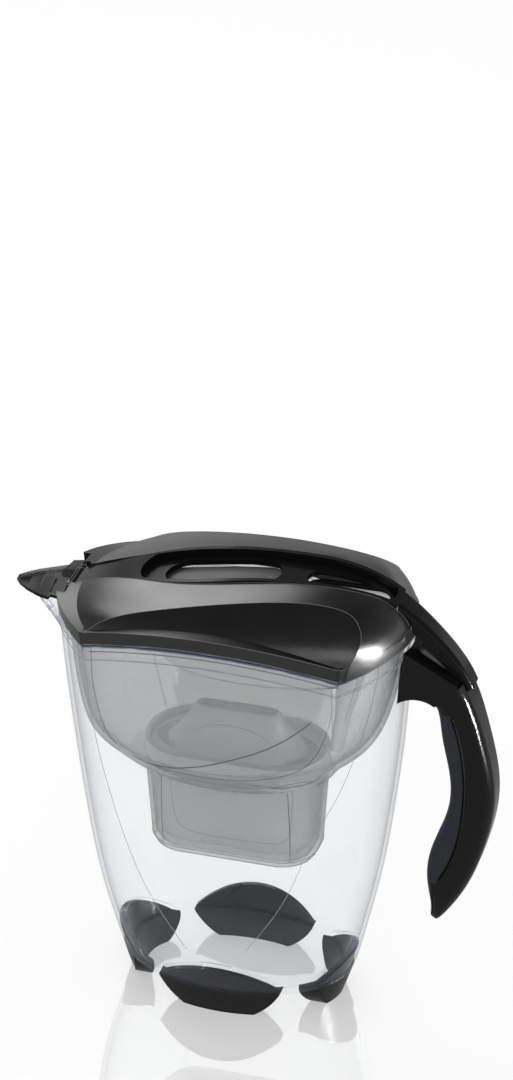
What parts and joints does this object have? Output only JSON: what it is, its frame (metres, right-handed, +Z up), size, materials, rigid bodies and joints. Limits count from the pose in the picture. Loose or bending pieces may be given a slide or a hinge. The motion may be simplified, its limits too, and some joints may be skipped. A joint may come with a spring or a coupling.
{
  "type": "water filter pitcher",
  "caption": "Clear pouring jug with a lift-out filter funnel, a drop-in cartridge, a water meter and a domed black lid with a fill flap and a spout cover.",
  "frame": {"origin": "centre of the bounding box on the ground plane, under the jug's soles", "axes": "+Z up, +X from the spout towards the handle, +Y to the jug's far side"},
  "size_m": [0.2846, 0.1262, 0.2806],
  "materials": {
    "clear_jug": "clear polished plastic with a pale blue-grey edge",
    "smoke_clear": "smoke-tinted clear plastic",
    "clear_frame": "clear plastic",
    "gloss_black": "high-gloss black plastic",
    "satin_black": "satin black plastic",
    "black_foot": "black plastic, lightly polished",
    "dark_grey": "satin dark grey plastic",
    "soft_grip": "soft-touch blue-grey elastomer",
    "grey_pad": "matte grey elastomer",
    "white_plastic": "satin white plastic",
    "grey_mesh": "fine woven filter mesh",
    "resin_beads": "packed ion-exchange beads",
    "meter_grey": "satin mid-grey plastic",
    "lcd_glass": "dark green-grey liquid crystal window",
    "circuit_board": "green circuit board",
    "steel": "bright stainless steel"
  },
  "bodies": {
    "jug": {"jug_body": "clear_jug", "foot_front": "black_foot", "foot_back": "black_foot", "foot_spout": "black_foot", "foot_handle": "black_foot", "handle_shell": "gloss_black", "handle_grip": "soft_grip", "handle_locator": "satin_black", "handle_pad": "grey_pad"},
    "funnel": {"funnel": "smoke_clear"},
    "meter": {"meter_frame": "clear_frame", "meter_case": "meter_grey", "meter_display": "lcd_glass", "meter_board": "circuit_board", "meter_cell": "steel", "meter_probe": "white_plastic", "meter_electrodes": "steel"},
    "button": {"meter_button": "meter_grey"},
    "loop": {"pull_loop": "clear_frame"},
    "cartridge": {"cartridge_cup": "white_plastic", "cartridge_head": "white_plastic", "cartridge_top_mesh": "grey_mesh", "cartridge_bottom_mesh": "grey_mesh", "filter_media": "resin_beads"},
    "lid": {"lid_hood": "gloss_black", "lid_spine": "gloss_black", "flap_pin": "steel", "flap_spring": "steel", "beak_pin": "steel"},
    "flap": {"fill_flap": "dark_grey"},
    "beak": {"beak_cover": "gloss_black"}
  },
  "joints": [
    {"name": "funnel_lift", "type": "slide", "parent": "jug", "child": "funnel", "axis": [0, 0, 1], "range_m": [0, 0.1417]},
    {"name": "meter_lift", "type": "slide", "parent": "funnel", "child": "meter", "axis": [0, 0, 1], "range_m": [0, 0.1168]},
    {"name": "button_press", "type": "slide", "parent": "meter", "child": "button", "axis": [0, 0, -1], "range_m": [0, 0.0008], "stiffness_N_per_m": 600},
    {"name": "loop_swing", "type": "hinge", "parent": "meter", "child": "loop", "pos_m": [0.03705, -0.0132, 0.251], "axis": [-1, 0, 0], "range_deg": [0, 80]},
    {"name": "cartridge_lift", "type": "slide", "parent": "meter", "child": "cartridge", "axis": [0, 0, 1], "range_m": [0, 0.0372]},
    {"name": "lid_lift", "type": "slide", "parent": "cartridge", "child": "lid", "axis": [0, 0, 1], "range_m": [0, 0.0233]},
    {"name": "flap_swing", "type": "hinge", "parent": "lid", "child": "flap", "pos_m": [-0.05625, 0, 0.25822], "axis": [0, 1, 0], "range_deg": [0, 50], "stiffness_Nm_per_rad": 0.02, "springref_deg": -8.59},
    {"name": "beak_swing", "type": "hinge", "parent": "lid", "child": "beak", "pos_m": [-0.10675, 0, 0.2519], "axis": [0, 1, 0], "range_deg": [0, 50]}
  ]
}
